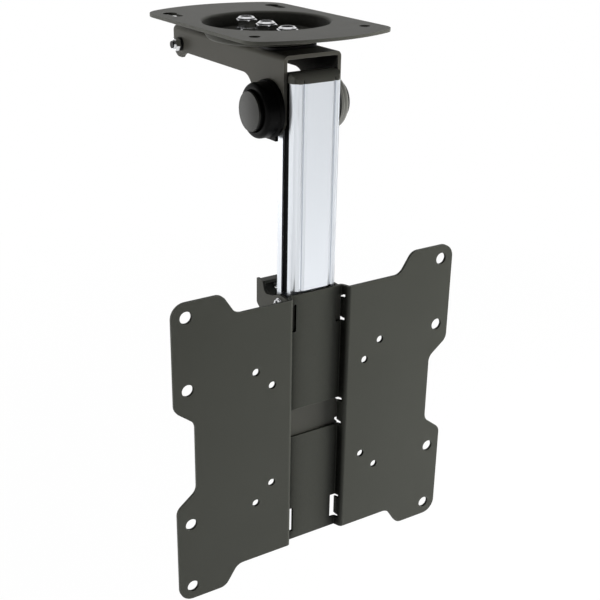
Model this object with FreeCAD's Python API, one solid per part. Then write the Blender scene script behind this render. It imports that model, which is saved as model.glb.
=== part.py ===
import FreeCAD, Part
import math
import os

# Fold-up ceiling mount for a flat screen. Millimetres, +Z up, the screen faces -Y.
# The origin is on the swivel axis, at the top face of the ceiling plate.

V = FreeCAD.Vector
os.makedirs("parts", exist_ok=True)

# Ceiling plate: a bowed-edge sheet with a round dish drawn down in it
plate_half_width = 52.4
plate_front = 79.5
plate_back = 86.5
plate_front_bow_radius = 112.0
plate_back_bow_radius = 93.8
plate_front_corner = 14.0
plate_back_corner = 20.0
plate_thick = 2.0
dish_rim_radius = 42.0
dish_floor_radius = 37.0
dish_depth = 9.0
dish_rim_roll = 3.0
dish_floor_roll = 2.0
ceiling_hole_x = 40.0
ceiling_hole_y = -52.2
ceiling_hole_radius = 3.5
keyhole_entry_y = 58.0
keyhole_entry_radius = 4.8
keyhole_tail_y = 45.5
keyhole_tail_radius = 3.1

# Swivel: a middle bolt turns, two outer bolts run in curved slots
swivel_bolt_radius = 4.0
swivel_bolt_pitch = 25.4
swivel_range_deg = 45.0
swivel_running_gap = 0.3
swivel_pad_thick = 1.5
swivel_pad_half_width = 18.0
swivel_head_radius = 8.0
swivel_head_height = 3.5
bolt_hole_gap = 0.08
slot_side_gap = 0.5

# Widths that nest: the column and the hinge bracket stand between the arm's cheeks
column_half_width = 18.0
arm_side_gap = 0.5
hinge_inset = 0.4

# Arm channel: an inverted U with a front ear and a rear lobe each side
arm_thick = 2.5
arm_half_width = column_half_width + arm_side_gap + arm_thick
arm_front = -54.8
arm_back = 91.2
arm_side_depth = 17.0
arm_bend_radius = 3.5
ear_radius = 17.5
ear_heel_radius = 12.0
ear_heel_back = 6.0
lobe_radius = 8.4
lobe_z = -25.6
lobe_fillet = 12.0

# Fold axis of the drop column
fold_y = -38.5
fold_z = -47.6

# Rear catch bolt between the channel's lobes
catch_y = 80.8
catch_z = -24.8
catch_bolt_radius = 2.5
catch_sleeve_radius = 4.5
catch_washer_radius = 4.6
catch_washer_thick = 1.6

# Knob housings with their push buttons
flange_radius = 18.6
flange_thick = 2.6
knob_radius = 17.4
knob_edge_round = 3.0
knob_bore_radius = 12.9
knob_lug_half_width = 10.6
knob_lug_drop = 18.3
left_knob_reach = 12.0
left_knob_floor = 3.5
left_button_stand = 1.8
left_button_travel = 2.8
left_spring_turns = 3.25
right_knob_reach = 7.4
right_knob_floor = 2.6
right_button_stand = 2.0
right_button_travel = 2.0
right_spring_turns = 1.5
button_radius = 12.5
button_wall = 1.8
button_face_thick = 1.2
button_dome = 0.6
stem_radius = 2.0
sleeve_radius = 4.0
sleeve_gap = 0.06
sleeve_flange_radius = 6.5
sleeve_flange_thick = 1.2
brake_radius = 4.9
brake_thick = 2.4
brake_gap = 0.3
brake_web = 0.4
brake_screw_radius = 1.0
brake_screw_length = 5.0
spring_radius = 8.6
spring_wire = 0.5
knob_screw_radius = 1.5
knob_screw_circle = 9.6

# Hinge bracket on the back of the column
hinge_half_width = column_half_width - hinge_inset
hinge_thick = 2.5
hinge_top = -31.0
hinge_bottom = -64.0
hinge_ear_radius = 8.0
hinge_window = 6.2
hinge_screw_radius = 2.0
hinge_screw_x = 6.0
hinge_screw_z = (-36.0, -59.0)

# Drop column: an aluminium extrusion with fluted corners and side slots
column_depth = 20.0
column_front = -63.8
column_top = -29.0
column_bottom = -186.4
column_front_corner = 7.0
column_back_corner = 1.0
column_wall = 2.2
column_slot = 7.2
column_slot_y = -53.3
column_web_x = 9.5
column_web_thick = 1.8
chamber_round = 3.2
strip_recess = 1.2
strip_lip = 1.0
strip_flange = 1.4
flute_x = 11.5
flute_cove_radius = 4.0
flute_cove_depth = 0.7
corner_cove_radius = 2.4
corner_cove_depth = 0.6
flute_slit_width = 0.9
flute_slit_depth = 1.4
relief_top = -164.0
cap_height = 6.1
cap_skirt = 4.0
cap_end_round = 3.0
cap_fit = 0.15

# Tilt joint at the foot of the column
tilt_y = -54.6
tilt_z = -173.9
tilt_bolt_radius = 2.5
tilt_range_deg = 25.0
tilt_spacer_radius = 5.2
tilt_side_gap = 0.3
tilt_washer_radius = 4.2
tilt_washer_thick = 0.8
tilt_head_radius = 3.8
tilt_head_height = 2.8
tilt_socket_flats = 3.0
tilt_socket_depth = 1.6
foot_clear = 5.2

# Screen plate: one folded sheet, wings in front of a set-back web
screen_y = -71.0
screen_z = -260.3
screen_half = 110.0
screen_thick = 2.0
screen_corner = 10.0
web_depth = 5.7
web_half_width = 20.0
wing_inner = 22.0
web_half_height = 95.0
side_half_width = 95.3
notch_roll = 8.0
window_half = 10.6
corner_slot_low = 69.0
corner_slot_high = 88.5
corner_slot_inner = 16.0
slot_outer = 20.6
relief_outer = 22.4
relief_height = 2.6
large_hole_radius = 4.2
small_hole_radius = 2.7
large_hole_sites = ((100.0, 100.0), (100.0, 50.0))
small_hole_sites = ((50.0, 50.0), (37.5, 37.5))

# Tilt bracket behind the screen plate
bracket_half_width = 22.2
bracket_thick = 2.0
bracket_bend_radius = 2.2
bracket_top = -167.8
bracket_bottom = -320.4
cheek_depth = 17.0
cheek_shoulder = 18.5
cheek_step_back = 25.0
cheek_step_drop = 3.4
cheek_saddle_back = 35.4
cheek_saddle_drop = 5.4
cheek_waist_back = 30.0
cheek_waist_drop = 25.6
cheek_heel_drop = 62.6
horn_drop = 17.9
hook_front = -33.1
hook_back = -25.2
hook_rise = 2.6
hook_drop = 26.0
stop_screw_x = 6.8
stop_screw_drop = 6.8
stop_screw_radius = 3.6
stop_screw_height = 2.4

# Standard hexagon nuts and heads: the swivel bolts' and the two cross bolts'
swivel_nut_flats = 13.0
swivel_nut_height = 6.9
cross_nut_flats = 8.0
cross_nut_height = 5.0
catch_head_height = 3.5
nut_bore_gap = 0.02
cutter_reach = 60.0


def box(x0, x1, y0, y1, z0, z1):
    return Part.makeBox(x1 - x0, y1 - y0, z1 - z0, V(x0, y0, z0))


def rod_x(x0, x1, y, z, r):
    return Part.makeCylinder(r, x1 - x0, V(x0, y, z), V(1, 0, 0))


def across(y, z, r):
    """A round cutter that runs right across the object in X."""
    return rod_x(-cutter_reach, cutter_reach, y, z, r)


def rod_y(y0, y1, x, z, r):
    return Part.makeCylinder(r, y1 - y0, V(x, y0, z), V(0, 1, 0))


def rod_z(z0, z1, x, y, r):
    return Part.makeCylinder(r, z1 - z0, V(x, y, z0), V(0, 0, 1))


def flat_point(plane, a, b, level):
    if plane == "xy":
        return V(a, b, level)
    if plane == "xz":
        return V(a, level, b)
    return V(level, a, b)


def outline_face(plane, level, corners):
    """A closed outline of (a, b, radius) corners, each rounded by its radius."""
    ends = []
    count = len(corners)
    for i in range(count):
        a, b, r = corners[i]
        pa, pb, _ = corners[i - 1]
        na, nb, _ = corners[(i + 1) % count]
        la = math.hypot(pa - a, pb - b)
        lb = math.hypot(na - a, nb - b)
        ua, ub = (pa - a) / la, (pb - b) / la
        wa, wb = (na - a) / lb, (nb - b) / lb
        if r <= 0:
            ends.append(((a, b), None, (a, b)))
            continue
        half = math.acos(max(-1.0, min(1.0, ua * wa + ub * wb))) / 2
        run = r / math.tan(half)
        da, db = ua + wa, ub + wb
        size = math.hypot(da, db)
        reach = r / math.sin(half) - r
        middle = (a + da / size * reach, b + db / size * reach)
        ends.append(((a + ua * run, b + ub * run), middle, (a + wa * run, b + wb * run)))
    edges = []
    for i in range(count):
        start, middle, stop = ends[i]
        if middle is not None:
            p, q, s = [flat_point(plane, c[0], c[1], level) for c in (start, middle, stop)]
            edges.append(Part.Arc(p, q, s).toShape())
        p = flat_point(plane, stop[0], stop[1], level)
        q = flat_point(plane, ends[(i + 1) % count][0][0], ends[(i + 1) % count][0][1], level)
        if p.distanceToPoint(q) > 0.001:
            edges.append(Part.makeLine(p, q))
    return Part.Face(Part.Wire(edges))


def slab(plane, low, high, corners):
    way = {"xy": V(0, 0, high - low), "xz": V(0, high - low, 0), "yz": V(high - low, 0, 0)}[plane]
    return outline_face(plane, low, corners).extrude(way)


def turned_x(profile, y, z):
    """A solid of revolution about the X line through (y, z), from (x, radius) points."""
    points = [V(x, y + r, z) for x, r in profile]
    face = Part.Face(Part.makePolygon(points + [points[0]]))
    return face.revolve(V(0, y, z), V(1, 0, 0), 360)


def turned_z(profile, x, y):
    points = [V(x + r, y, z) for r, z in profile]
    face = Part.Face(Part.makePolygon(points + [points[0]]))
    return face.revolve(V(x, y, 0), V(0, 0, 1), 360)


def mirrored_x(shape):
    return shape.mirror(V(0, 0, 0), V(1, 0, 0))


def hexagon(flats, height, spin_deg=0.0):
    """A hexagonal prism on the Z axis with its corners turned off at both ends."""
    corner = flats / math.sqrt(3)
    points = []
    for k in range(7):
        angle = math.radians(60 * k + spin_deg)
        points.append(V(corner * math.cos(angle), corner * math.sin(angle), 0))
    prism = Part.Face(Part.makePolygon(points)).extrude(V(0, 0, height))
    bevel = (corner - flats / 2) * 0.6
    round_off = turned_z(((0, 0), (corner - bevel, 0), (corner, bevel),
                          (corner, height - bevel), (corner - bevel, height), (0, height)), 0, 0)
    return prism.common(round_off)


def lock_nut(flats, height, shank, spin_deg=0.0):
    """Standing on Z = 0: a hexagon with the round locking collar on top."""
    rise = height * 0.74
    body = hexagon(flats, rise, spin_deg)
    collar = flats / 2 * 0.9
    dome = turned_z(((0, rise - 0.3), (collar, rise - 0.3), (collar, height - 1.0),
                     (collar - 1.3, height), (0, height)), 0, 0)
    return body.fuse(dome).removeSplitter().cut(rod_z(-1, height + 1, 0, 0, shank + nut_bore_gap))


def stand(shape, x, y, z, way):
    """Turn a piece made on the Z axis so that Z points along way, then move it."""
    turned = shape.copy()
    if way == "+x":
        turned.rotate(V(0, 0, 0), V(0, 1, 0), 90)
    if way == "-x":
        turned.rotate(V(0, 0, 0), V(0, 1, 0), -90)
    if way == "-y":
        turned.rotate(V(0, 0, 0), V(1, 0, 0), 90)
    if way == "+y":
        turned.rotate(V(0, 0, 0), V(1, 0, 0), -90)
    turned.translate(V(x, y, z))
    return turned


def arc_slot(radius, half_width, middle_deg, sweep_deg, z0, z1):
    """A curved slot about the Z axis with round ends."""
    ring = rod_z(z0, z1, 0, 0, radius + half_width).cut(rod_z(z0 - 1, z1 + 1, 0, 0, radius - half_width))
    wedge = Part.makeCylinder(radius * 2, z1 - z0, V(0, 0, z0), V(0, 0, 1), 2 * sweep_deg)
    wedge.rotate(V(0, 0, 0), V(0, 0, 1), middle_deg - sweep_deg)
    slot = ring.common(wedge)
    for side in (-1, 1):
        angle = math.radians(middle_deg + side * sweep_deg)
        slot = slot.fuse(rod_z(z0, z1, radius * math.cos(angle), radius * math.sin(angle), half_width))
    return slot


def save(name, shape):
    solids = shape.Solids
    if len(solids) != 1:
        print("WARNING", name, "has", len(solids), "solids")
    solid = solids[0] if len(solids) == 1 else shape
    if not solid.isValid():
        print("WARNING", name, "is not valid")
    solid.exportStep("parts/" + name + ".step")


# Ceiling plate: the bowed outline first, then the dish, slots and fixing holes
plate_under = -plate_thick
floor_top = -dish_depth
floor_under = floor_top - plate_thick
front_bow_y = plate_front_bow_radius - plate_front
back_bow_y = plate_back - plate_back_bow_radius
plate = box(-plate_half_width, plate_half_width, -plate_front - 5, plate_back + 5, plate_under, 0)
plate = plate.common(rod_z(plate_under, 0, 0, front_bow_y, plate_front_bow_radius))
plate = plate.common(rod_z(plate_under, 0, 0, back_bow_y, plate_back_bow_radius))
for way, corner_radius in ((-1, plate_front_corner), (1, plate_back_corner)):
    corner_edges = []
    for edge in plate.Edges:
        ends = [v.Point for v in edge.Vertexes]
        upright = len(ends) == 2 and abs(ends[0].x - ends[1].x) < 0.01 and abs(ends[0].y - ends[1].y) < 0.01
        if upright and abs(abs(ends[0].x) - plate_half_width) < 0.01 and way * ends[0].y > 0:
            corner_edges.append(edge)
    plate = plate.makeFillet(corner_radius, corner_edges)

# The dish is turned as a bent sheet, rolls first, then its two faces are smoothed
dish_outer = dish_rim_radius + dish_rim_roll + 1.5
wall_lean = dish_rim_radius - dish_floor_radius
wall_length = math.hypot(wall_lean, dish_depth)
side_shift = plate_thick * dish_depth / wall_length
down_shift = plate_thick * wall_lean / wall_length
slope = dish_depth / wall_lean
under_rim = dish_rim_radius + side_shift - (plate_thick - down_shift) / slope
under_floor = dish_floor_radius + side_shift - (plate_thick - down_shift) / slope
dish = turned_z(((0, floor_top), (dish_floor_radius, floor_top), (dish_rim_radius, 0), (dish_outer, 0),
                 (dish_outer, plate_under), (under_rim, plate_under), (under_floor, floor_under),
                 (0, floor_under)), 0, 0)


def ring_edges(shape, radius, level):
    found = []
    for edge in shape.Edges:
        curve = edge.Curve
        if hasattr(curve, "Radius") and abs(curve.Radius - radius) < 0.01:
            if abs(edge.Vertexes[0].Point.z - level) < 0.01:
                found.append(edge)
    return found


dish = dish.makeFillet(dish_rim_roll, ring_edges(dish, dish_rim_radius, 0))
dish = dish.makeFillet(dish_floor_roll, ring_edges(dish, dish_floor_radius, floor_top))
dish = dish.makeFillet(dish_floor_roll + plate_thick, ring_edges(dish, under_floor, floor_under))
dish = dish.makeFillet(1.5, ring_edges(dish, under_rim, plate_under))
plate = plate.cut(rod_z(plate_under - 1, 1, 0, 0, dish_outer)).fuse(dish).removeSplitter()

slot_half = swivel_bolt_radius + slot_side_gap
slot_sweep = swivel_range_deg + 0.5
for middle in (-90, 90):
    slot = arc_slot(swivel_bolt_pitch, slot_half, middle, slot_sweep, floor_under - 1, floor_top + 1)
    plate = plate.cut(slot)
plate = plate.cut(rod_z(floor_under - 1, floor_top + 1, 0, 0, swivel_bolt_radius + bolt_hole_gap))
for side in (-1, 1):
    hole_x = side * ceiling_hole_x
    plate = plate.cut(rod_z(plate_under - 1, 1, hole_x, ceiling_hole_y, ceiling_hole_radius))
    plate = plate.cut(rod_z(plate_under - 1, 1, hole_x, keyhole_entry_y, keyhole_entry_radius))
    plate = plate.cut(rod_z(plate_under - 1, 1, hole_x, keyhole_tail_y, keyhole_tail_radius))
    plate = plate.cut(box(hole_x - keyhole_tail_radius, hole_x + keyhole_tail_radius,
                          keyhole_tail_y, keyhole_entry_y, plate_under - 1, 1))
save("ceiling_plate", plate)

# Swivel pad, arm channel and the three swivel bolts
pad_top = floor_under - swivel_running_gap
arm_top = pad_top - swivel_pad_thick
arm_inside = arm_top - arm_thick
cheek_inside = arm_half_width - arm_thick
washer_bottom = floor_top + swivel_running_gap
washer_top = washer_bottom + 1.2
swivel_sites = (("front", -swivel_bolt_pitch), ("middle", 0.0), ("rear", swivel_bolt_pitch))
hole_radius = swivel_bolt_radius + bolt_hole_gap

pad_end = swivel_bolt_pitch + 12.0
pad = slab("xy", arm_top, pad_top, (
    (-swivel_pad_half_width, -pad_end, 8), (swivel_pad_half_width, -pad_end, 8),
    (swivel_pad_half_width, pad_end, 8), (-swivel_pad_half_width, pad_end, 8)))
for _, y in swivel_sites:
    pad = pad.cut(rod_z(arm_top - 1, pad_top + 1, 0, y, hole_radius))
save("swivel_pad", pad)

lower_edge = arm_top - arm_side_depth
heel_y = ear_heel_back - ear_heel_radius
heel_z = lower_edge - ear_heel_radius
back_strip = slab("yz", -arm_half_width, arm_half_width, (
    (arm_front, arm_top, 0), (arm_back + 5, arm_top, 0), (arm_back + 5, lower_edge, 0),
    (arm_front, lower_edge, 0)))
ear_block = slab("yz", -arm_half_width, arm_half_width, (
    (arm_front, lower_edge + 1, 0), (heel_y, lower_edge + 1, 0), (heel_y, lower_edge, 0),
    (heel_y - ear_heel_radius, heel_z, 0), (fold_y + ear_radius, fold_z, 0), (arm_front, fold_z, 0)))
heel_arc = rod_x(-arm_half_width - 1, arm_half_width + 1, heel_y, heel_z, ear_heel_radius)
heel_fill = box(-arm_half_width, arm_half_width, heel_y - ear_heel_radius, heel_y, heel_z, lower_edge)
ear_disc = rod_x(-arm_half_width, arm_half_width, fold_y, fold_z, ear_radius)
ear_disc = ear_disc.common(box(-arm_half_width, arm_half_width, arm_front, 0, fold_z - 40, lower_edge))
ear_block = ear_block.fuse(heel_fill).cut(heel_arc).fuse(ear_disc)
lobe_y = arm_back - lobe_radius
lobe = rod_x(-arm_half_width, arm_half_width, lobe_y, lobe_z, lobe_radius)
lobe_side = math.sqrt(lobe_radius ** 2 - (lobe_z - lower_edge) ** 2)
blend_y = lobe_y - math.sqrt((lobe_radius + lobe_fillet) ** 2 - (lobe_z - lower_edge + lobe_fillet) ** 2)
blend_z = lower_edge - lobe_fillet
blend = slab("yz", -arm_half_width, arm_half_width, (
    (blend_y, lower_edge, 0), (lobe_y, lower_edge, 0),
    (lobe_y, lobe_z - lobe_radius + 1.5, 0), (blend_y, blend_z, 0)))
blend = blend.cut(rod_x(-arm_half_width - 1, arm_half_width + 1, blend_y, blend_z, lobe_fillet))
blend = blend.cut(box(-arm_half_width - 1, arm_half_width + 1, blend_y - 1, lobe_y - lobe_side,
                      blend_z - 20, blend_z))
arm = back_strip.fuse([ear_block, lobe, blend]).removeSplitter()
bend_edges = []
for edge in arm.Edges:
    ends = [v.Point for v in edge.Vertexes]
    if len(ends) == 2 and abs(ends[0].z - arm_top) < 0.01 and abs(ends[1].z - arm_top) < 0.01:
        if abs(abs(ends[0].x) - arm_half_width) < 0.01 and abs(ends[0].x - ends[1].x) < 0.01:
            bend_edges.append(edge)
arm = arm.makeFillet(arm_bend_radius, bend_edges)

# The rear end is trimmed after the bend: square at the top, round about the lobe below
keep_back = slab("yz", -arm_half_width - 1, arm_half_width + 1, (
    (arm_front - 1, arm_top + 1, 0), (arm_back, arm_top + 1, 0),
    (arm_back, lobe_z - lobe_radius, lobe_radius), (lobe_y - lobe_radius, lobe_z - lobe_radius, 0),
    (lobe_y - lobe_radius, fold_z - 40, 0),
    (arm_front - 1, fold_z - 40, 0)))
arm = arm.common(keep_back)
inner_roll = arm_bend_radius - arm_thick
hollow = slab("xz", arm_front - 1, arm_back + 1, (
    (-cheek_inside, arm_inside, inner_roll), (cheek_inside, arm_inside, inner_roll),
    (cheek_inside, fold_z - 40, 0), (-cheek_inside, fold_z - 40, 0)))
arm = arm.cut(hollow)
for _, y in swivel_sites:
    arm = arm.cut(rod_z(arm_inside - 1, arm_top + 1, 0, y, hole_radius))
catch_hole_radius = catch_bolt_radius + bolt_hole_gap
arm = arm.cut(across(fold_y, fold_z, sleeve_radius))
arm = arm.cut(across(catch_y, catch_z, catch_hole_radius))
knob_screw_spots = []
for angle_deg in (60.0, 240.0):
    angle = math.radians(angle_deg)
    knob_screw_spots.append((fold_y + knob_screw_circle * math.cos(angle),
                             fold_z + knob_screw_circle * math.sin(angle)))
for y, z in knob_screw_spots:
    for side in (-1, 1):
        sink = turned_x(((side * (cheek_inside - 0.2), 0), (side * (cheek_inside - 0.2), 3.1),
                         (side * cheek_inside, 3.1), (side * (cheek_inside + 1.5), knob_screw_radius + 0.1),
                         (side * (arm_half_width + 0.5), knob_screw_radius + 0.1),
                         (side * (arm_half_width + 0.5), 0)), y, z)
        arm = arm.cut(sink)
save("arm_channel", arm)

head_low = arm_inside - swivel_head_height
head_mid = arm_inside - swivel_head_height * 0.55
for label, y in swivel_sites:
    head = turned_z(((0, head_low), (swivel_head_radius * 0.55, head_low),
                     (swivel_head_radius * 0.88, head_mid), (swivel_head_radius, arm_inside - 0.6),
                     (swivel_head_radius, arm_inside), (0, arm_inside)), 0, y)
    socket = stand(hexagon(5.0, 2.2), 0, y, head_low - 0.2, "+z")
    shank_top = washer_top + swivel_nut_height - 1.2
    bolt = head.cut(socket).fuse(rod_z(arm_inside, shank_top, 0, y, swivel_bolt_radius)).removeSplitter()
    save("swivel_bolt_" + label, bolt)
    ring = rod_z(washer_bottom, washer_top, 0, y, 7.5)
    ring = ring.cut(rod_z(washer_bottom - 1, washer_top + 1, 0, y, hole_radius))
    save("swivel_washer_" + label, ring)
    nut = lock_nut(swivel_nut_flats, swivel_nut_height, swivel_bolt_radius, 12.0)
    nut.translate(V(0, y, washer_top))
    save("swivel_nut_" + label, nut)

# Rear catch bolt with its rubber washers and middle sleeve
catch_washer_out = arm_half_width + catch_washer_thick
nut_end = catch_washer_out + cross_nut_height
for side, label in ((-1, "left"), (1, "right")):
    low, high = sorted((side * arm_half_width, side * catch_washer_out))
    ring = rod_x(low, high, catch_y, catch_z, catch_washer_radius)
    ring = ring.cut(across(catch_y, catch_z, catch_hole_radius))
    save("catch_washer_" + label, ring)
nut = lock_nut(cross_nut_flats, cross_nut_height, catch_bolt_radius, 20.0)
save("catch_nut", stand(nut, -catch_washer_out, catch_y, catch_z, "-x"))
head = stand(hexagon(cross_nut_flats, catch_head_height, 10.0), catch_washer_out, catch_y, catch_z, "+x")
shank = rod_x(-nut_end - 0.6, catch_washer_out, catch_y, catch_z, catch_bolt_radius)
save("catch_bolt", head.fuse(shank).removeSplitter())
sleeve = rod_x(-cheek_inside, cheek_inside, catch_y, catch_z, catch_sleeve_radius)
save("catch_sleeve", sleeve.cut(across(catch_y, catch_z, catch_hole_radius)))

# Knob housings, buttons and brakes: the right knob is the lower one, made on the left
# and mirrored
flange_out = arm_half_width + flange_thick
sleeve_face = arm_half_width + sleeve_flange_thick
hinge_inside = hinge_half_width - hinge_thick
brake_face = hinge_inside - brake_gap
brake_end = brake_face - brake_thick
screw_head_drop = 1.45
screw_clear = 0.8


def knob_housing(knob_out, floor_out):
    """A round cover on a flange, with a bore for the button and a lug below."""
    body = rod_x(-knob_out, -arm_half_width, fold_y, fold_z, knob_radius)
    rim = [edge for edge in body.Edges
           if len(edge.Vertexes) == 1 and abs(edge.Vertexes[0].Point.x + knob_out) < 0.01]
    body = body.makeFillet(knob_edge_round, rim)
    flange = turned_x(((-arm_half_width, 0), (-arm_half_width, flange_radius),
                       (-flange_out + 0.8, flange_radius), (-flange_out, flange_radius - 0.8),
                       (-flange_out, 0)), fold_y, fold_z)
    lug = box(-flange_out + 0.6, -arm_half_width, fold_y - knob_lug_half_width,
              fold_y + knob_lug_half_width, fold_z - knob_lug_drop, fold_z - 10)
    body = body.fuse([flange, lug]).removeSplitter()
    body = body.cut(turned_x(((-knob_out - 1, 0), (-knob_out - 1, knob_bore_radius + 0.6),
                              (-knob_out, knob_bore_radius + 0.6), (-knob_out + 0.6, knob_bore_radius),
                              (-floor_out, knob_bore_radius), (-floor_out, 0)), fold_y, fold_z))
    body = body.cut(rod_x(-sleeve_face, -arm_half_width + 1, fold_y, fold_z, sleeve_flange_radius + 0.1))
    body = body.cut(rod_x(-knob_out, -arm_half_width + 1, fold_y, fold_z, stem_radius + sleeve_gap))
    for y, z in knob_screw_spots:
        body = body.cut(rod_x(-floor_out + screw_clear, -arm_half_width + 1, y, z, knob_screw_radius))
    return body


def release_button(front, back):
    """A shallow cup on a long stem that runs in to the brake."""
    inner = button_wall - front
    cup = rod_x(-front, -back, fold_y, fold_z, button_radius)
    cup = cup.cut(rod_x(inner, 1 - back, fold_y, fold_z, button_radius - button_wall))
    cup = cup.fuse(rod_x(inner, -brake_end - brake_web, fold_y, fold_z, stem_radius))
    cup = cup.fuse(rod_x(inner - 0.2, -back, fold_y, fold_z, stem_radius + 1.6)).removeSplitter()
    return cup.cut(rod_x(-brake_end - brake_screw_length, 0, fold_y, fold_z, brake_screw_radius))


def button_face(front):
    """The face plate on the button, slightly crowned."""
    radius = button_radius - 0.15
    out = front + button_face_thick
    crown = (radius ** 2 + button_dome ** 2) / (2 * button_dome)
    ball = Part.makeSphere(crown, V(-out - button_dome + crown, fold_y, fold_z))
    dome = ball.common(rod_x(-out - button_dome - 1, -out, fold_y, fold_z, radius))
    return rod_x(-out, -front, fold_y, fold_z, radius).fuse(dome).removeSplitter()


def coil_spring(low, high, turns):
    """A coil of round wire between two planes, drawn with a six-sided section."""
    rise = high - low - 2 * spring_wire
    lean = math.atan2(rise, 2 * math.pi * turns * spring_radius)
    sections = []
    steps = int(turns * 12)
    for k in range(steps + 1):
        turn = 2 * math.pi * turns * k / steps
        outward = V(math.cos(turn), math.sin(turn), 0)
        upward = V(math.sin(turn) * math.sin(lean), -math.cos(turn) * math.sin(lean), math.cos(lean))
        middle = outward * spring_radius + V(0, 0, rise * k / steps)
        points = []
        for corner in range(6):
            angle = math.radians(60 * corner)
            points.append(middle + (outward * math.cos(angle) + upward * math.sin(angle)) * spring_wire)
        sections.append(Part.makePolygon(points + [points[0]]))
    return stand(Part.makeLoft(sections, True, True), -low - spring_wire, fold_y, fold_z, "-x")


def knob_screw(y, z, tip):
    """A countersunk screw from inside the channel into the housing's floor."""
    screw = turned_x(((-cheek_inside, 0), (-cheek_inside, 3.0),
                      (-cheek_inside - screw_head_drop, knob_screw_radius),
                      (-tip, knob_screw_radius), (-tip, 0)), y, z)
    cross = box(-cheek_inside - 0.7, -cheek_inside + 0.1, y - 1.8, y + 1.8, z - 0.3, z + 0.3)
    cross = cross.fuse(box(-cheek_inside - 0.7, -cheek_inside + 0.1, y - 0.3, y + 0.3, z - 1.8, z + 1.8))
    return screw.cut(cross)


pivot = rod_x(-sleeve_face, -hinge_inside, fold_y, fold_z, sleeve_radius)
pivot = pivot.fuse(rod_x(-sleeve_face, -arm_half_width, fold_y, fold_z, sleeve_flange_radius))
pivot = pivot.removeSplitter().cut(rod_x(-sleeve_face - 1, 0, fold_y, fold_z, stem_radius + sleeve_gap))

brake = rod_x(-brake_face, -brake_end, fold_y, fold_z, brake_radius)
brake = brake.cut(rod_x(-brake_face - 1, -brake_end - brake_web, fold_y, fold_z, stem_radius))
brake = brake.cut(rod_x(-brake_face - 1, -brake_end + 1, fold_y, fold_z, brake_screw_radius + 0.05))
brake_screw = rod_x(-brake_end - brake_screw_length, -brake_end, fold_y, fold_z, brake_screw_radius)
brake_screw = brake_screw.fuse(turned_x(((-brake_end, 0), (-brake_end, 2.1), (-brake_end + 0.9, 1.8),
                                         (-brake_end + 1.4, 0.9), (-brake_end + 1.4, 0)), fold_y, fold_z))
brake_screw = brake_screw.removeSplitter()

knob_sides = (
    ("left", left_knob_reach, left_knob_floor, left_button_stand, left_button_travel, left_spring_turns),
    ("right", right_knob_reach, right_knob_floor, right_button_stand, right_button_travel,
     right_spring_turns))
for label, reach, floor, stand_out, travel, turns in knob_sides:
    knob_out = arm_half_width + reach
    floor_out = arm_half_width + floor
    front = knob_out + stand_out
    back = floor_out + travel + 0.4
    screw_tip = floor_out - screw_clear - 0.2
    side_pieces = {
        "knob_housing": knob_housing(knob_out, floor_out), "pivot_sleeve": pivot,
        "release_button": release_button(front, back), "button_face": button_face(front),
        "brake_disc": brake, "brake_screw": brake_screw,
        "button_spring": coil_spring(floor_out, front - button_wall, turns),
        "knob_screw_upper": knob_screw(*knob_screw_spots[0], screw_tip),
        "knob_screw_lower": knob_screw(*knob_screw_spots[1], screw_tip)}
    for name, shape in side_pieces.items():
        save(name + "_" + label, shape if label == "left" else mirrored_x(shape))

# Drop column
column_back = column_front + column_depth
column_mid = column_front + column_depth / 2
column_outline = ((-column_half_width, column_front, column_front_corner),
                  (column_half_width, column_front, column_front_corner),
                  (column_half_width, column_back, column_back_corner),
                  (-column_half_width, column_back, column_back_corner))


def flutes(z0, z1):
    """Each face has two shallow coves with a slit; each front corner has a cove of its own."""
    cutters = []
    reach = flute_cove_radius - flute_cove_depth
    corner_reach = (column_front_corner + corner_cove_radius - corner_cove_depth) / math.sqrt(2)
    for sx in (-1, 1):
        middle = sx * flute_x
        low, high = middle - flute_slit_width / 2, middle + flute_slit_width / 2
        cutters.append(rod_z(z0, z1, middle, column_front - reach, flute_cove_radius))
        cutters.append(rod_z(z0, z1, middle, column_back + reach, flute_cove_radius))
        cutters.append(rod_z(z0, z1, sx * (column_half_width - column_front_corner + corner_reach),
                             column_front + column_front_corner - corner_reach, corner_cove_radius))
        cutters.append(box(low, high, column_front - 1, column_front + flute_slit_depth, z0, z1))
        cutters.append(box(low, high, column_back - flute_slit_depth, column_back + 1, z0, z1))
    return cutters


column = slab("xy", column_bottom, column_top, column_outline)
for cutter in flutes(column_bottom - 1, column_top + 1):
    column = column.cut(cutter)
core_half = column_web_x - column_web_thick / 2
wing_start = column_web_x + column_web_thick / 2
wing_end = column_half_width - column_wall
core_front = column_front + column_wall
core_back = column_back - column_wall
slot_front = column_slot_y - column_slot / 2
slot_back = column_slot_y + column_slot / 2
column = column.cut(slab("xy", column_bottom - 1, column_top + 1, (
    (-core_half, core_front, 1), (core_half, core_front, 1),
    (core_half, core_back, 1), (-core_half, core_back, 1))))
for side in (-1, 1):
    chamber = slab("xy", column_bottom - 1, column_top + 1, (
        (side * wing_start, core_front, 0.5), (side * wing_end, core_front, chamber_round),
        (side * wing_end, core_back, 0.5), (side * wing_start, core_back, 0.5)))
    column = column.cut(chamber)
    low, high = sorted((side * (wing_end - 1), side * (column_half_width + 1)))
    column = column.cut(box(low, high, slot_front, slot_back, column_bottom - 1, column_top + 1))
bracket_web_front = screen_y + web_depth + screen_thick
bracket_web_back = bracket_web_front + bracket_thick
column = column.cut(box(-column_half_width - 1, column_half_width + 1, column_front - 1,
                        tilt_y - foot_clear, column_bottom - 1, relief_top))
foot_cut = box(-column_half_width - 1, column_half_width + 1, tilt_y - 40, tilt_y - foot_clear,
               tilt_z - 40, tilt_z + 15)
foot_cut.rotate(V(0, tilt_y, tilt_z), V(1, 0, 0), tilt_range_deg)
column = column.cut(foot_cut)
tilt_hole_radius = tilt_bolt_radius + bolt_hole_gap
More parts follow.
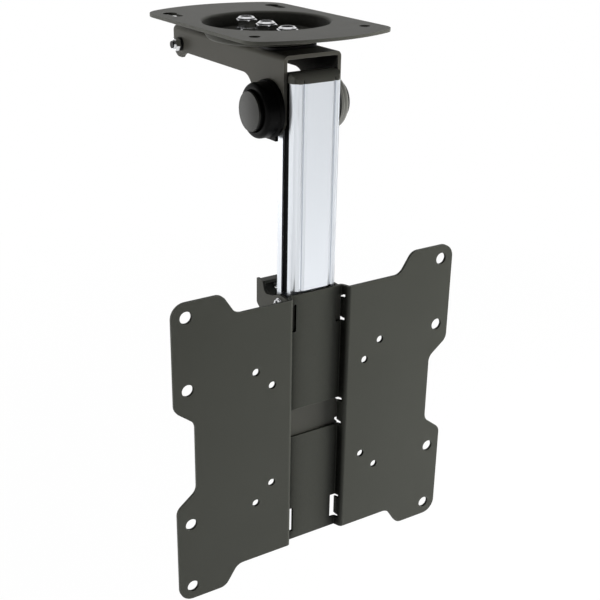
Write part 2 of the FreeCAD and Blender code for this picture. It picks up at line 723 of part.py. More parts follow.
column = column.cut(across(tilt_y, tilt_z, tilt_hole_radius))
hinge_screw_sites = [(side * hinge_screw_x, z) for z in hinge_screw_z for side in (-1, 1)]
for x, z in hinge_screw_sites:
    column = column.cut(rod_y(core_back - 1, column_back + 1, x, z, hinge_screw_radius))
save("column", column)

# Black cover strips pressed into the side slots, held by a flange behind the wall
strip_bottom = tilt_z + tilt_spacer_radius + 1.0
strip_face = column_half_width - strip_recess
strip_inside = wing_end - strip_flange
for side, label in ((-1, "left"), (1, "right")):
    strip = slab("xy", strip_bottom, column_top, (
        (side * strip_inside, slot_front - strip_lip, 0), (side * wing_end, slot_front - strip_lip, 0),
        (side * wing_end, slot_front, 0), (side * strip_face, slot_front, 0),
        (side * strip_face, slot_back, 0), (side * wing_end, slot_back, 0),
        (side * wing_end, slot_back + strip_lip, 0), (side * strip_inside, slot_back + strip_lip, 0)))
    save("slot_strip_" + label, strip)

# Rounded cap on the column's top, with a plug in the middle chamber
cap_arc = ((column_depth / 2) ** 2 + cap_height ** 2) / (2 * cap_height)
cap = slab("xy", column_top, column_top + cap_height + 1, column_outline)
cap = cap.common(rod_x(-column_half_width - 1, column_half_width + 1, column_mid,
                       column_top + cap_height - cap_arc, cap_arc))
cap = cap.common(slab("xz", column_front - 1, column_back + 1, (
    (-column_half_width, column_top, 0), (column_half_width, column_top, 0),
    (column_half_width, column_top + cap_height, cap_end_round),
    (-column_half_width, column_top + cap_height, cap_end_round))))
for cutter in flutes(column_top - 1, column_top + cap_height + 2):
    cap = cap.cut(cutter)
plug_half = core_half - cap_fit
plug = slab("xy", column_top - cap_skirt, column_top + 0.5, (
    (-plug_half, core_front + cap_fit, 1), (plug_half, core_front + cap_fit, 1),
    (plug_half, core_back - cap_fit, 1), (-plug_half, core_back - cap_fit, 1)))
save("column_cap", cap.fuse(plug).removeSplitter())

# Hinge bracket: a base on the column's back with two ears round the fold axis
base_back = column_back + hinge_thick
hinge = box(-hinge_half_width, hinge_half_width, column_back, base_back, hinge_bottom, hinge_top)
for side in (-1, 1):
    low, high = sorted((side * hinge_half_width, side * hinge_inside))
    ear = slab("yz", low, high, (
        (column_back, hinge_top, 0), (base_back + 0.5, hinge_top, 0),
        (fold_y + hinge_ear_radius * 0.8, fold_z + hinge_ear_radius * 0.6, 4),
        (fold_y + hinge_ear_radius * 0.8, fold_z - hinge_ear_radius, 6),
        (base_back + 0.5, hinge_bottom + 4, 0), (column_back, hinge_bottom + 4, 0)))
    hinge = hinge.fuse(ear)
hinge = hinge.removeSplitter()
hinge = hinge.cut(box(-hinge_inside, hinge_inside, column_back - 1, base_back + 1,
                      fold_z - hinge_window, fold_z + hinge_window))
hinge = hinge.cut(across(fold_y, fold_z, sleeve_radius + sleeve_gap))
for x, z in hinge_screw_sites:
    hinge = hinge.cut(rod_y(column_back - 1, base_back + 1, x, z, hinge_screw_radius + 0.1))
save("hinge_bracket", hinge)
for row, z in enumerate(hinge_screw_z):
    for side, label in ((-1, "left"), (1, "right")):
        head = turned_z(((0, 0), (3.8, 0), (3.8, 0.8), (3.0, 1.9), (1.6, 2.4), (0, 2.4)), 0, 0)
        head = head.cut(stand(hexagon(2.5, 1.5), 0, 0, 1.2, "+z"))
        screw = stand(head, side * hinge_screw_x, base_back, z, "+y")
        screw = screw.fuse(rod_y(core_back - 1.5, base_back, side * hinge_screw_x, z, hinge_screw_radius))
        save("hinge_screw_" + ("upper" if row == 0 else "lower") + "_" + label, screw.removeSplitter())

# Tilt joint
bracket_inside = bracket_half_width - bracket_thick
for side, label in ((-1, "left"), (1, "right")):
    low, high = sorted((side * column_half_width, side * (bracket_inside - tilt_side_gap)))
    spacer = rod_x(low, high, tilt_y, tilt_z, tilt_spacer_radius)
    save("tilt_spacer_" + label, spacer.cut(across(tilt_y, tilt_z, tilt_hole_radius)))
    low, high = sorted((side * bracket_half_width, side * (bracket_half_width + tilt_washer_thick)))
    ring = rod_x(low, high, tilt_y, tilt_z, tilt_washer_radius)
    save("tilt_washer_" + label, ring.cut(across(tilt_y, tilt_z, tilt_hole_radius)))
tilt_out = bracket_half_width + tilt_washer_thick
nut = lock_nut(cross_nut_flats, cross_nut_height, tilt_bolt_radius, 5.0)
save("tilt_nut", stand(nut, tilt_out, tilt_y, tilt_z, "+x"))
head_end = -tilt_out - tilt_head_height
head = turned_x(((-tilt_out, 0), (-tilt_out, tilt_head_radius), (-tilt_out - 0.9, tilt_head_radius),
                 (-tilt_out - 1.9, tilt_head_radius * 0.84), (head_end, tilt_head_radius * 0.5),
                 (head_end, 0)), tilt_y, tilt_z)
socket = stand(hexagon(tilt_socket_flats, tilt_socket_depth + 1), head_end - 1, tilt_y, tilt_z, "+x")
shank = rod_x(-tilt_out, tilt_out + cross_nut_height + 0.5, tilt_y, tilt_z, tilt_bolt_radius)
save("tilt_bolt", head.cut(socket).fuse(shank).removeSplitter())

# Tilt bracket: front web and two shaped cheeks, folded from one sheet
hook_top = bracket_top + hook_rise
stop_screw_z = hook_top - stop_screw_drop
cheek_outline = (
    (bracket_web_front, bracket_top, 0), (screen_y + cheek_shoulder, bracket_top, 6),
    (screen_y + cheek_step_back, bracket_top - cheek_step_drop, 6),
    (screen_y + cheek_saddle_back, bracket_top - cheek_saddle_drop, 4),
    (hook_front, hook_top - 1, 0), (hook_front, hook_top, 0),
    (hook_back, hook_top, 0), (hook_back, hook_top - horn_drop, 3),
    (screen_y + cheek_waist_back, bracket_top - cheek_waist_drop, 12),
    (screen_y + cheek_depth, bracket_top - cheek_heel_drop, 14),
    (screen_y + cheek_depth, bracket_bottom, 8), (bracket_web_front, bracket_bottom, 0))
bracket = slab("yz", -bracket_half_width, bracket_half_width, cheek_outline)
bracket = bracket.cut(slab("xy", bracket_bottom - 1, max(bracket_top, hook_top) + 1, (
    (-bracket_inside, bracket_web_back, 1), (bracket_inside, bracket_web_back, 1),
    (bracket_inside, hook_back + 1, 0), (-bracket_inside, hook_back + 1, 0))))
front_bends = []
for edge in bracket.Edges:
    ends = [v.Point for v in edge.Vertexes]
    on_front = len(ends) == 2 and all(abs(p.y - bracket_web_front) < 0.01 for p in ends)
    if on_front and all(abs(abs(p.x) - bracket_half_width) < 0.01 for p in ends):
        if abs(ends[0].x - ends[1].x) < 0.01:
            front_bends.append(edge)
bracket = bracket.makeFillet(bracket_bend_radius, front_bends)
for sx in (-1, 1):
    for sz in (-1, 1):
        low, high = sorted((sx * (bracket_inside - 1.2), sx * (bracket_half_width + 1)))
        z_low, z_high = sorted((screen_z + sz * 6.4, screen_z + sz * 10.8))
        bracket = bracket.cut(box(low, high, bracket_web_front - 1, bracket_web_front + 5, z_low, z_high))
save("tilt_bracket", bracket.cut(across(tilt_y, tilt_z, tilt_hole_radius)))

# Hook bar: a top flange and a rear wall welded between the cheeks
hook_wall = hook_back - bracket_thick
hook = slab("yz", -bracket_inside, bracket_inside, (
    (hook_front, hook_top, 0), (hook_back, hook_top, 2.4), (hook_back, hook_top - hook_drop, 0),
    (hook_wall, hook_top - hook_drop, 0), (hook_wall, hook_top - bracket_thick, 0.6),
    (hook_front, hook_top - bracket_thick, 0)))
for side in (-1, 1):
    x = side * stop_screw_x
    hook = hook.cut(rod_y(hook_wall - 1, hook_back + 1, x, stop_screw_z, hinge_screw_radius))
save("hook_bar", hook)
for side, label in ((-1, "left"), (1, "right")):
    x = side * stop_screw_x
    head = turned_z(((0, 0), (stop_screw_radius, 0), (stop_screw_radius - 0.3, 1.0),
                     (stop_screw_radius - 1.3, 2.0), (1.2, stop_screw_height),
                     (0, stop_screw_height)), 0, 0)
    stop = stand(head, x, hook_wall, stop_screw_z, "-y")
    stop = stop.fuse(rod_y(hook_wall, hook_back + 1.0, x, stop_screw_z, hinge_screw_radius))
    save("stop_screw_" + label, stop.removeSplitter())

# Screen plate: one folded section along Z, trimmed to the outline
top_slope = 1.515
side_slope = 0.789
top_low_x = 66.7 - 3.0 / top_slope
top_high_x = top_low_x + (screen_half - web_half_height) / top_slope
side_low_z = 25.4
side_high_z = side_low_z + (screen_half - side_half_width) * side_slope
quarter = [(top_low_x, web_half_height, notch_roll), (top_high_x, screen_half, notch_roll),
           (screen_half, screen_half, screen_corner), (screen_half, side_high_z, notch_roll),
           (side_half_width, side_low_z, notch_roll)]
loop = list(quarter)
loop += [(x, -z, r) for x, z, r in reversed(quarter)]
loop += [(-x, -z, r) for x, z, r in quarter]
loop += [(-x, z, r) for x, z, r in reversed(quarter)]
loop = [(x, screen_z + z, r) for x, z, r in loop]
silhouette = slab("xz", screen_y - 1, screen_y + 20, loop)

wall_run = wing_inner - web_half_width
wall_size = math.hypot(wall_run, web_depth)
shift = screen_thick * (wall_size - wall_run) / web_depth
sheet_edge = screen_half + 5
inner_bend = 0.8
outer_bend = inner_bend + screen_thick
section = [(sheet_edge, 0.0, 0), (wing_inner, 0.0, outer_bend), (web_half_width, web_depth, inner_bend),
           (-web_half_width, web_depth, inner_bend), (-wing_inner, 0.0, outer_bend), (-sheet_edge, 0.0, 0),
           (-sheet_edge, screen_thick, 0), (-wing_inner - shift, screen_thick, inner_bend),
           (-web_half_width - shift, web_depth + screen_thick, outer_bend),
           (web_half_width + shift, web_depth + screen_thick, outer_bend),
           (wing_inner + shift, screen_thick, inner_bend), (sheet_edge, screen_thick, 0)]
section = [(x, screen_y + y, r) for x, y, r in section]
screen = slab("xy", screen_z - screen_half - 2, screen_z + screen_half + 2, section)
screen = screen.common(silhouette)
back_of_wings = screen_y + screen_thick + 0.4
deep = screen_y + web_depth + screen_thick + 1


def relieved_slot(low_x, high_x, low_z, high_z):
    """A slot through the set-back web that runs on into a bend, with a relief at each end."""
    if low_x < 0 < high_x:
        spans = ((-relief_outer, relief_outer),)
    else:
        outer = relief_outer if high_x > 0 else -relief_outer
        spans = (tuple(sorted((outer, low_x if high_x > 0 else high_x))),)
    cutter = box(low_x, high_x, back_of_wings, deep, low_z, high_z)
    for low, high in spans:
        cutter = cutter.fuse(box(low, high, back_of_wings, deep, low_z, low_z + relief_height))
        cutter = cutter.fuse(box(low, high, back_of_wings, deep, high_z - relief_height, high_z))
    return cutter


screen = screen.cut(relieved_slot(-slot_outer, slot_outer, screen_z - window_half, screen_z + window_half))
for sx in (-1, 1):
    for sz in (-1, 1):
        low, high = sorted((sx * corner_slot_inner, sx * slot_outer))
        z_low, z_high = sorted((screen_z + sz * corner_slot_low, screen_z + sz * corner_slot_high))
        screen = screen.cut(relieved_slot(low, high, z_low, z_high))
        for sites, radius in ((large_hole_sites, large_hole_radius), (small_hole_sites, small_hole_radius)):
            for hx, hz in sites:
                hole = rod_y(screen_y - 1, screen_y + 5, sx * hx, screen_z + sz * hz, radius)
                screen = screen.cut(hole)
save("screen_plate", screen)
print("done")
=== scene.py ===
import bmesh
import bpy
import math
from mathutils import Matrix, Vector


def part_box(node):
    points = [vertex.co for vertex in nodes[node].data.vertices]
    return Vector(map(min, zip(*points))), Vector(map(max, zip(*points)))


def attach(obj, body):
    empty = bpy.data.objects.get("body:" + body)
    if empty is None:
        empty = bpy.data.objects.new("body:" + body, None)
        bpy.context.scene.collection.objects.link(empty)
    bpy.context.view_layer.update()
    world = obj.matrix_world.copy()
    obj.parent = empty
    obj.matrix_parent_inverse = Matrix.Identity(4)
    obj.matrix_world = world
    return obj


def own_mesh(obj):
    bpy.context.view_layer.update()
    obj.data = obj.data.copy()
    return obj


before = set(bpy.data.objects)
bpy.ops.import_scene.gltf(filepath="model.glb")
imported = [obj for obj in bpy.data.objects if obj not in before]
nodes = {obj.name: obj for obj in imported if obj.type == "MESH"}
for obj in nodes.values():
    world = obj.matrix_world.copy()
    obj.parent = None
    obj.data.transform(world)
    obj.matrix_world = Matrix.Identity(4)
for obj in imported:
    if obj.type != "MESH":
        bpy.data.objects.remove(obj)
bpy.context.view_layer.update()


# Ceiling plate: 2 mm steel sheet with a pressed dish in its middle, blanked and pierced in
# one press, then given a dark grey powder coat that is baked on with a fine even grain.
# Four screws hold it to the ceiling, two of them through keyholes.
class Link:
    """A socket of a finish that takes part in plain sums."""

    def __init__(self, sheet, socket):
        self.sheet = sheet
        self.socket = socket

    def maths(self, operation, *values):
        return self.sheet.node("ShaderNodeMath", {"operation": operation}, *values)

    def __add__(self, other):
        return self.maths("ADD", self, other)

    def __radd__(self, other):
        return self.maths("ADD", other, self)

    def __sub__(self, other):
        return self.maths("SUBTRACT", self, other)

    def __rsub__(self, other):
        return self.maths("SUBTRACT", other, self)

    def __mul__(self, other):
        return self.maths("MULTIPLY", self, other)

    def __rmul__(self, other):
        return self.maths("MULTIPLY", other, self)


class Finish:
    """A material or the sky, and the nodes that make it."""

    def __init__(self, name, holder=None):
        self.holder = holder or bpy.data.materials.new(name)
        self.holder.use_nodes = True
        self.tree = self.holder.node_tree
        self.tree.nodes.clear()

    def node(self, kind, settings, *values, out=0, places=None, **named):
        """A node with its settings and then its sockets, which are given in order, by their
        places or by their names. What comes back is its socket out."""
        made = self.tree.nodes.new(kind)
        for key, value in settings.items():
            if key == "stops":
                ramp = made.color_ramp.elements
                for stop, (at, level) in zip((ramp[0], ramp[1]), value):
                    stop.position = at
                    stop.color = (level, level, level, 1.0)
            else:
                setattr(made, key, value)
        for key, value in [*enumerate(values), *(places or {}).items(), *named.items()]:
            socket = made.inputs[key.replace("_", " ") if isinstance(key, str) else key]
            if isinstance(value, Link):
                self.tree.links.new(value.socket, socket)
            elif socket.type == "RGBA" and isinstance(value, tuple):
                socket.default_value = (*value, 1.0)
            else:
                socket.default_value = value
        return Link(self, made.outputs[out]) if made.outputs else None

    def noise(self, scale, detail=2.0, stretch=(1, 1, 1), roughness=0.5):
        place = self.node("ShaderNodeTexCoord", {}, out="Object")
        where = self.node("ShaderNodeMapping", {}, Vector=place, Scale=stretch)
        return self.node("ShaderNodeTexNoise", {}, Vector=where, Scale=scale, Detail=detail,
                         Roughness=roughness)

    def ramp(self, value, *stops):
        return self.node("ShaderNodeValToRGB", {"stops": stops}, value)

    def blend(self, amount, first, second):
        colour_a, colour_b, mixed = 6, 7, 2
        return self.node("ShaderNodeMix", {"data_type": "RGBA"}, amount, out=mixed,
                         places={colour_a: first, colour_b: second})

    def rounded(self, radius):
        """The surface's direction with sharp edges softened, and 1 on such an edge."""
        soft = self.node("ShaderNodeBevel", {"samples": 6}, Radius=radius)
        flat = self.node("ShaderNodeNewGeometry", {}, out="Normal")
        turn = self.node("ShaderNodeVectorMath", {"operation": "DOT_PRODUCT"}, soft, flat,
                         out="Value")
        full_turn = 0.12
        return soft, self.ramp(1.0 - turn, (0.0, 0.0), (full_turn, 1.0))

    def bump(self, height, strength, distance, normal=None):
        sockets = {} if normal is None else {"Normal": normal}
        return self.node("ShaderNodeBump", {}, Height=height, Strength=strength,
                         Distance=distance, **sockets)

    def surface(self, painted_shade=None, **sockets):
        """The finished material, with painted shade given as its share and its colour."""
        shader = self.node("ShaderNodeBsdfPrincipled", {}, **sockets)
        if painted_shade:
            share, colour = painted_shade
            # Painted shade: a matt diffuse of the given colour, mixed in by the given share.
            shade_shader = self.node("ShaderNodeBsdfDiffuse", {}, Color=colour)
            shader = self.node("ShaderNodeMixShader", {}, share, shader, shade_shader)
        self.node("ShaderNodeOutputMaterial", {}, Surface=shader)
        return self.holder


def tone(*levels):
    """A linear colour from one or three screen values of 0 to 255."""
    levels = levels if len(levels) == 3 else levels * 3
    return tuple((level / 255) ** 2.2 for level in levels)


def dress(material, *names):
    for name in names:
        mesh = nodes[name].data
        mesh.materials.clear()
        mesh.materials.append(material)
        for face in mesh.polygons:
            face.material_index = 0


def powder_coat(name, dark, light, full_shade_below=0.64, no_shade_above=0.88):
    """Baked powder coat: an even pebbled skin, with a painted highlight where it runs over an
    edge. Deep in a hollow it is painted with shade: matt black is mixed in fully below one
    share of open air and not at all above the other."""
    grain_size = 0.0007
    edge_round = 0.0004
    shade_reach = 0.04
    # The colour of the painted highlight along the coat's edges.
    edge_highlight = tone(128, 128, 122)
    # The colour of the painted shade in hollows.
    painted_shade_black = tone(5)
    coat = Finish(name)
    grain = coat.noise(1 / grain_size, 3.0, roughness=0.6)
    flow = coat.noise(90.0, 2.0)
    cloud = coat.noise(11.0, 2.0)
    soft, edge = coat.rounded(edge_round)
    body = coat.blend(cloud * 0.7 + grain * 0.3, dark, light)
    # Painted highlight: the coat is paler along its sharp edges.
    highlit_coat = coat.blend(edge * 0.45, body, edge_highlight)
    skin = coat.bump(flow, 0.12, 0.0004, soft)
    # Painted shade: hollows with little open air around them are darkened towards black.
    open_air = coat.node("ShaderNodeAmbientOcclusion", {"samples": 6, "only_local": True},
                         Distance=shade_reach, out="AO")
    return coat.surface(
        painted_shade=(coat.ramp(open_air, (full_shade_below, 1.0), (no_shade_above, 0.0)), painted_shade_black),
        Base_Color=highlit_coat, Roughness=0.43 + grain * 0.14 + flow * 0.05,
        Specular_IOR_Level=0.17, Normal=coat.bump(grain, 0.22, 0.0003, skin))


# The plate's dish and other hollows get painted shade from the coat.
plate_coat = powder_coat("ceiling plate coat", tone(69, 69, 64), tone(77, 77, 72),
                         full_shade_below=0.78, no_shade_above=0.95)
dress(plate_coat, "ceiling_plate")


# Swivel pad: a stamped sheet of black nylon between the plate's dish and the arm, so that
# the two coated sheets turn on each other without scraping. The three bolts hold it.
slip = Finish("black swivel nylon")
slip_grain = slip.noise(1400.0, 2.0)
pad_nylon = slip.surface(
    Base_Color=slip.blend(slip_grain, tone(18), tone(26)), Roughness=0.5 + slip_grain * 0.12,
    Specular_IOR_Level=0.3, Normal=slip.bump(slip_grain, 0.15, 0.0002))
dress(pad_nylon, "swivel_pad")


# Swivel bolts: three steel bolts that come up through the arm and the dish, the outer two
# in its curved slots, each with a washer and a lock nut on top. They are cold formed, their
# threads are rolled, and they are bright zinc plated.
def bright_plate(name, rough, streak_stretch):
    """Bright zinc over cold formed steel: fine drawing marks and a faint milky bloom."""
    edge_round = 0.00025
    zinc = Finish(name)
    streak = zinc.noise(420.0, 3.0, streak_stretch)
    bloom = zinc.noise(120.0, 2.0)
    soft, edge = zinc.rounded(edge_round)
    colour = zinc.blend(bloom, tone(196, 198, 203), tone(226, 226, 226))
    # Painted highlight: the zinc is paler along its sharp edges.
    highlit_zinc = zinc.blend(edge * 0.5, colour, tone(240, 240, 240))
    return zinc.surface(
        Base_Color=highlit_zinc, Metallic=1.0, Roughness=rough + streak * 0.1 + bloom * 0.05,
        Normal=zinc.bump(streak, 0.12, 0.0002, soft))


bolt_zinc = bright_plate("bright zinc bolts", 0.1, (1, 1, 0.15))
dress(bolt_zinc, *(
    "swivel_" + kind + "_" + place
    for kind in ("bolt", "washer", "nut") for place in ("front", "middle", "rear")))


def turned_ring(name, body, material, centre, profile):
    """A ring turned about an upright line through centre, from the (radius, height) corners
    of its section, listed clockwise. Its corners are set out one by one, so that their order
    is the same each run."""
    steps = 48
    around = len(profile)
    corners = []
    walls = []
    for step in range(steps):
        turn = math.tau * step / steps
        next_step = (step + 1) % steps
        for corner, (radius, height) in enumerate(profile):
            next_corner = (corner + 1) % around
            corners.append((centre[0] + radius * math.cos(turn),
                            centre[1] + radius * math.sin(turn), height))
            walls.append((step * around + corner, step * around + next_corner,
                          next_step * around + next_corner, next_step * around + corner))
    mesh = bpy.data.meshes.new(name)
    mesh.from_pydata(corners, [], walls)
    for face in mesh.polygons:
        face.use_smooth = True
    mesh.set_sharp_from_angle(angle=math.radians(40))
    mesh.materials.append(material)
    made = bpy.data.objects.new(name, mesh)
    bpy.context.scene.collection.objects.link(made)
    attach(made, body)
    return made


# The nylon ring in the top of each lock nut, with a chamfer round its bore. A real one grips
# the bolt's thread. These start just above the bolt's end, so that they don't cut into it.
ring_radius = 0.00407
ring_bore = 0.00345
chamfer_wide, chamfer_deep = 0.0002, 0.0003
ring_set_back = 0.0003
bolt_end_gap = 0.00002
for place in ("front", "middle", "rear"):
    nut_low, nut_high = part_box("swivel_nut_" + place)
    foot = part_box("swivel_bolt_" + place)[1][2] + bolt_end_gap
    rim = nut_high[2] - ring_set_back
    centre = ((nut_low[0] + nut_high[0]) / 2, (nut_low[1] + nut_high[1]) / 2)
    turned_ring("nut_ring_" + place, "swivel_arm", pad_nylon, centre, (
        (ring_radius, foot), (ring_bore, foot), (ring_bore, rim - chamfer_deep),
        (ring_bore + chamfer_wide, rim), (ring_radius, rim)))


# Arm channel: 2.5 mm steel sheet cut flat, folded over into an upside down U with a front
# ear and a rear lobe each side, and powder coated after bending.
arm_coat = powder_coat("arm channel coat", tone(64, 63, 58), tone(71, 70, 65))
dress(arm_coat, "arm_channel")


# Catch bolt: a blackened steel cross bolt through the rear lobes, with a rubber sleeve over
# it between them, a rubber washer outside each lobe and a bright lock nut at the left.
catch_zinc = bright_plate("bright zinc cross bolt", 0.08, (0.15, 1, 1))
dress(catch_zinc, "catch_nut")
oxide = Finish("blackened bolt steel")
oxide_marks = oxide.noise(600.0, 3.0, (0.1, 1, 1))
black_bolt = oxide.surface(
    Base_Color=oxide.blend(oxide_marks, tone(16, 16, 18), tone(30, 30, 32)), Metallic=0.7,
    Roughness=0.34 + oxide_marks * 0.14, Normal=oxide.bump(oxide_marks, 0.12, 0.0002))
dress(black_bolt, "catch_bolt")
gum = Finish("black rubber")
gum_grain = gum.noise(1600.0, 3.0)
rubber = gum.surface(
    Base_Color=gum.blend(gum_grain, tone(12), tone(20)), Roughness=0.68 + gum_grain * 0.14,
    Specular_IOR_Level=0.25, Normal=gum.bump(gum_grain, 0.2, 0.0002))
dress(rubber, "catch_washer_left", "catch_washer_right", "catch_sleeve")


# Fold hinge: a folded bracket of bare zinc plated sheet screwed to the back of the column,
# which turns on two flanged steel sleeves pressed into the arm's ears.
plain = Finish("zinc plated hinge sheet")
roll_marks = plain.noise(500.0, 3.0, (1, 1, 0.05))
on_sheet = plain.node("ShaderNodeTexCoord", {}, out="Object")
cells = plain.node("ShaderNodeTexVoronoi", {}, Vector=on_sheet, Scale=160.0, out="Color")
spangle = plain.node("ShaderNodeSeparateColor", {}, cells)
sheet_zinc = plain.surface(
    Base_Color=plain.blend(roll_marks, tone(120, 122, 124), tone(140, 141, 141)),
    Metallic=0.9, Roughness=0.34 + roll_marks * 0.12 + spangle * 0.06,
    Normal=plain.bump(roll_marks, 0.1, 0.0002))
dress(sheet_zinc, "hinge_bracket", "pivot_sleeve_left", "pivot_sleeve_right")
dress(catch_zinc, "hinge_screw_upper_left", "hinge_screw_upper_right",
      "hinge_screw_lower_left", "hinge_screw_lower_right")


# Knob housings: round covers of black moulded plastic with a spark textured skin, the right
# one painted grey as a painted highlight, each held on its ear by two screws from inside.
# The button slides in the housing's bore.
def moulding(name, dark, light, rough, gloss):
    """Moulded plastic with the fine spark texture of its steel mould."""
    grain_size = 0.00045
    edge_round = 0.0003
    resin = Finish(name)
    spark = resin.noise(1 / grain_size, 2.0)
    flow = resin.noise(60.0, 2.0)
    soft, edge = resin.rounded(edge_round)
    colour = resin.blend(spark * 0.6 + flow * 0.4, dark, light)
    # Painted highlight: the plastic is paler along its sharp edges.
    return resin.surface(
        Base_Color=resin.blend(edge * 0.3, colour, tone(62, 62, 60)),
        Roughness=rough + spark * 0.1 + flow * 0.06, Specular_IOR_Level=gloss,
        Normal=resin.bump(spark, 0.15, 0.0002, soft))


housing_black = moulding("black knob housing", tone(6), tone(9), 0.34, 0.08)
# The right housing is painted lighter grey and glossier: a painted highlight on black
# plastic.
housing_painted_lit = moulding("knob housing painted lit", tone(88, 88, 84), tone(98, 98, 93), 0.3, 0.35)
dress(housing_black, "knob_housing_left")
dress(housing_painted_lit, "knob_housing_right")
dress(catch_zinc, "knob_screw_upper_left", "knob_screw_upper_right",
      "knob_screw_lower_left", "knob_screw_lower_right")


# Release buttons: black moulded pistons, each with a grey face pressed into its end, a
# coil spring of zinc plated wire behind it and a steel brake disc screwed on its stem
# inside the arm.
button_black = moulding("black button", tone(8), tone(12), 0.34, 0.1)
dress(button_black, "release_button_left", "release_button_right")
button_grey = moulding("grey button face", tone(42, 42, 40), tone(50, 50, 47), 0.22, 0.24)
dress(button_grey, "button_face_left", "button_face_right")
dress(catch_zinc, "button_spring_left", "button_spring_right",
      "brake_screw_left", "brake_screw_right")
dress(sheet_zinc, "brake_disc_left", "brake_disc_right")

# Each spring stands on the housing's floor, at its inner end. Each is given a mesh of its
# own, and each button's travel is listed; nothing here shortens the spring.
left_travel = 0.0028
right_travel = 0.0020
for side, inner_end, travel in (("left", 1, left_travel), ("right", 0, right_travel)):
    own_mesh(nodes["button_spring_" + side])


# Drop column: one aluminium extrusion with three chambers, rounded and fluted at the
# front. The die marks it faintly lengthwise, and it is then satin anodised.
skin = Finish("satin anodised aluminium")
die_lines = skin.noise(1100.0, 3.0, (1, 1, 0.006))
fine_etch = skin.noise(2600.0, 2.0)
broad = skin.noise(24.0, 2.0, (1, 1, 0.15))
column_skin = skin.surface(
    Base_Color=skin.blend(die_lines * 0.5 + broad * 0.5,
                          tone(230, 235, 241), tone(237, 241, 246)),
    Metallic=0.85, Roughness=0.26 + die_lines * 0.05 + fine_etch * 0.04,
    Normal=skin.bump(die_lines * 0.6 + fine_etch * 0.4, 0.02, 0.0001))
dress(column_skin, "column")


# Column cap and side strips: black moulded plastic. The cap's plug is pressed into the
# middle chamber, and a strip snaps into the slot in each side of the column.
cap_black = moulding("black column cap", tone(68, 68, 64), tone(78, 78, 73), 0.36, 0.08)
strip_black = moulding("black side strip", tone(6, 6, 8), tone(10, 10, 12), 0.45, 0.03)
dress(cap_black, "column_cap")
dress(strip_black, "slot_strip_left", "slot_strip_right")


# Tilt bracket and hook bar: a second folded steel channel that hangs from one cross bolt at
# the column's foot, with nylon spacers beside the column, and a bar across its back whose
# lip hooks the column's back to hold the screen upright.
bracket_coat = powder_coat("tilt bracket coat", tone(60, 60, 56), tone(68, 68, 63))
dress(bracket_coat, "tilt_bracket", "hook_bar")
dress(pad_nylon, "tilt_spacer_left", "tilt_spacer_right")
dress(catch_zinc, "tilt_bolt", "tilt_nut", "tilt_washer_left",
      "tilt_washer_right", "stop_screw_left", "stop_screw_right")


# Screen plate: 2 mm steel sheet blanked as a wide H with a row of screen holes at each
# corner, its middle folded back as a shallow channel, and powder coated.
# The channel's walls and corners get painted shade from the coat.
screen_coat = powder_coat("screen plate coat", tone(57, 58, 53), tone(64, 65, 60),
                          full_shade_below=0.72, no_shade_above=0.94)
dress(screen_coat, "screen_plate")


# The studio: a small white floor far under the mount and a white room. What polished metal
# mirrors is the lit wall behind the mount, the white floor all round with one dim part low
# at the right, and a light box overhead. The front of the room stays dark.
floor_level = -0.62
floor_radius = 1.5
floor_mesh = bpy.data.meshes.new("floor")
disc = bmesh.new()
bmesh.ops.create_circle(disc, cap_ends=True, segments=96, radius=floor_radius)
bmesh.ops.translate(disc, verts=disc.verts, vec=(0, 0, floor_level))
disc.to_mesh(floor_mesh)
disc.free()
floor = bpy.data.objects.new("floor", floor_mesh)
bpy.context.scene.collection.objects.link(floor)
ground = Finish("white floor")
spot = ground.node("ShaderNodeTexCoord", {}, out="Object")
flat_spot = ground.node("ShaderNodeVectorMath", {"operation": "MULTIPLY"}, spot,
                        (1.0, 1.0, 0.0))
away = ground.node("ShaderNodeVectorMath", {"operation": "LENGTH"}, flat_spot, out="Value")
whiteness = ground.ramp(away * (1.0 / floor_radius), (0.35, 0.96), (0.95, 1.0))
seen = ground.node("ShaderNodeLightPath", {}, out="Is Camera Ray")
mirrored = ground.node("ShaderNodeLightPath", {}, out="Is Glossy Ray")
through = ground.node("ShaderNodeLightPath", {}, out="Is Transmission Ray")
looked_at = seen + through + mirrored * 0.8
matt = ground.node("ShaderNodeBsdfDiffuse", {}, Color=(0.8, 0.8, 0.8))
glow = ground.node("ShaderNodeEmission", {}, Color=(1.0, 1.0, 1.0), Strength=1.0)
shown = ground.node("ShaderNodeMixShader", {},
                    looked_at.maths("MINIMUM", looked_at, 1.0) * whiteness, matt, glow)
ground.node("ShaderNodeOutputMaterial", {}, Surface=shown)
floor_mesh.materials.append(ground.holder)

room = bpy.data.worlds.new("studio")
bpy.context.scene.world = room
sky = Finish("studio", room)
way = sky.node("ShaderNodeTexCoord", {}, out="Generated")


def toward(point):
    """How nearly a way through the room leads to point: 1 when it does."""
    return sky.node("ShaderNodeVectorMath", {"operation": "DOT_PRODUCT"}, way,
                    tuple(Vector(point).normalized()), out="Value")


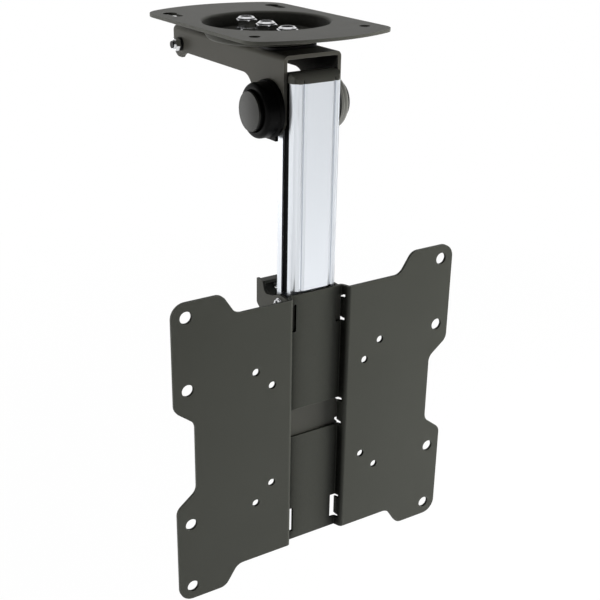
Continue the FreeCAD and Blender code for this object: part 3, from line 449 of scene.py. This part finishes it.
height = sky.node("ShaderNodeSeparateXYZ", {}, way, out="Z")
back_wall = sky.ramp(toward((0.45, 0.85, 0.25)), (0.35, 0.04), (0.80, 1.0))
white_floor = sky.ramp(height + 0.5, (0.44, 1.0), (0.54, 0.04))
dim_part = sky.ramp(toward((0.87, -0.48, -0.15)), (0.90, 1.0), (0.97, 0.15))
light_box = sky.ramp(height, (0.70, 0.0), (0.90, 1.0))
low_wall = white_floor * dim_part
walls = back_wall.maths("MAXIMUM", back_wall, low_wall)
level = walls.maths("MAXIMUM", light_box, walls)
seen = sky.node("ShaderNodeLightPath", {}, out="Is Camera Ray")
mirrored = sky.node("ShaderNodeLightPath", {}, out="Is Glossy Ray")
through = sky.node("ShaderNodeLightPath", {}, out="Is Transmission Ray")
soft_light = 0.15
room_light = soft_light + (level - soft_light) * (mirrored + through)
sky.node("ShaderNodeOutputWorld", {}, Surface=sky.node(
    "ShaderNodeBackground", {}, Color=(1.0, 1.0, 1.0),
    Strength=room_light + (1.0 - room_light) * seen))


def lamp(name, place, aim, size, power, shiny=False):
    """A soft box at place that faces aim, of a width and height in metres and a power in
    watts. Only a shiny one shows in polished metal."""
    data = bpy.data.lights.new(name, "AREA")
    data.shape = "RECTANGLE"
    data.size, data.size_y = size
    data.energy = power
    made = bpy.data.objects.new(name, data)
    made.location = place
    made.rotation_euler = (Vector(aim) - Vector(place)).to_track_quat("-Z", "Y").to_euler()
    made.visible_camera = False
    made.visible_glossy = shiny
    bpy.context.scene.collection.objects.link(made)


lamp("right lamp", (1.10, -0.52, -0.12), (0, 0, -0.2), (0.42, 0.42), 33.0)
lamp("left lamp", (-1.9, 0.2, -0.32), (0, 0, -0.12), (1.0, 0.6), 22.0)
lamp("left strip", (-0.89, 1.71, -0.45), (0, 0, -0.1), (0.25, 1.4), 2.4, shiny=True)
lamp("rear lamp", (-0.5, 1.9, -0.15), (0, 0, -0.15), (1.0, 1.0), 26.0)
lamp("top lamp", (0.0, 0.3, 1.9), (0, 0, 0), (1.2, 1.2), 14.0)


# The camera stands to the left, a little above the ceiling plate, where the photograph seems
# to be taken from. Its place, aim, focal length and optical axis were fitted to the centres
# of 16 of the screen plate's holes in the photograph, with no roll. The shift sets that axis.
camera_place = Vector((-0.37040, -0.60414, 0.10362))
camera_aim = Vector((0.4702, 0.7859, -0.4017))
focal_pixels = 1072.46
picture_size = 600.0
axis_u = 253.85
axis_v = 314.23
camera_data = bpy.data.cameras.new("camera")
camera = bpy.data.objects.new("camera", camera_data)
bpy.context.scene.collection.objects.link(camera)
camera.location = camera_place
camera.rotation_euler = camera_aim.to_track_quat("-Z", "Y").to_euler()
camera_data.lens = camera_data.sensor_width * focal_pixels / picture_size
picture_middle = (picture_size - 1) / 2
camera_data.shift_x = (picture_middle - axis_u) / picture_size
camera_data.shift_y = (axis_v - picture_middle) / picture_size
camera_data.clip_start = 0.01
bpy.context.scene.camera = camera
bpy.context.scene.view_settings.view_transform = "Standard"
